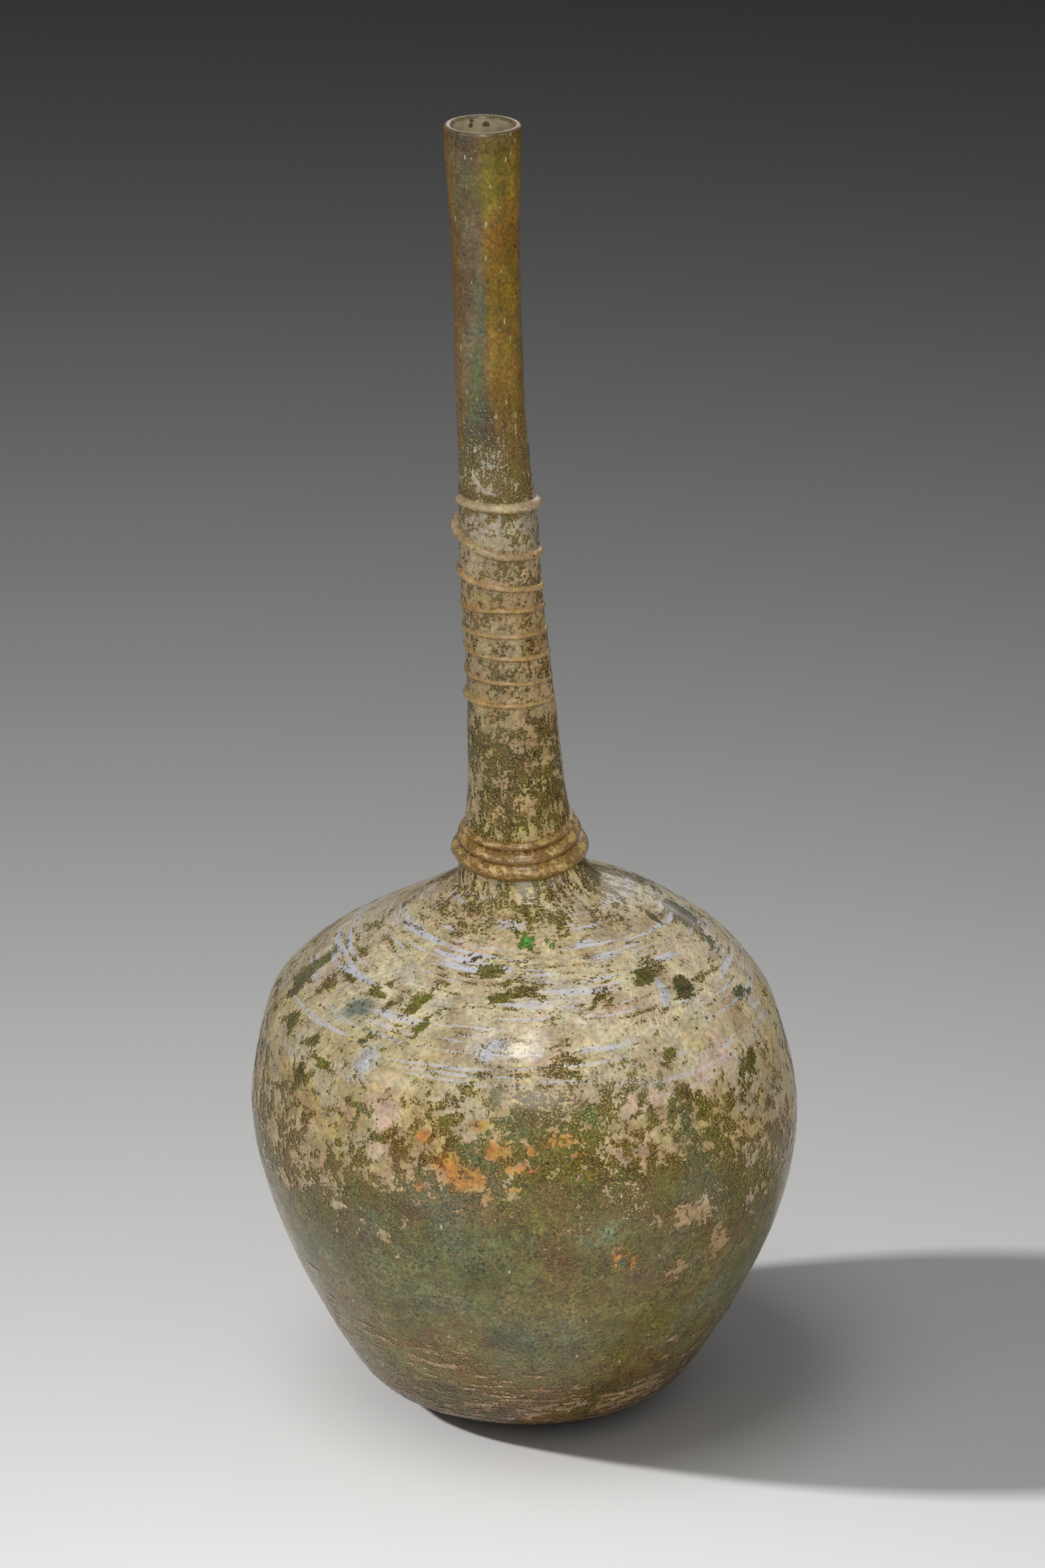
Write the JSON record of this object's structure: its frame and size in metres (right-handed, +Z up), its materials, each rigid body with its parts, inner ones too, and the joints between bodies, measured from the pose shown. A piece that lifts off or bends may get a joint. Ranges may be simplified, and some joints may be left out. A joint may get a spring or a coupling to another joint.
{
  "type": "glass bottle",
  "caption": "Ancient blown glass bottle: pear-shaped body, long leaning neck wound with a fused glass thread, coiled collar at the neck's foot, open mouth.",
  "frame": {"origin": "under the middle of the body's widest ring, at the height of the surface that the bottle stands on", "axes": "+Z up, towards the mouth; -Y is the side seen in the picture; the neck leans towards -X"},
  "size_m": [0.116, 0.116, 0.28],
  "materials": {
    "weathered_glass": "olive to amber glass under a patchy cream crust and an iridescent film"
  },
  "bodies": {
    "root": {"bottle": "weathered_glass"}
  },
  "joints": []
}
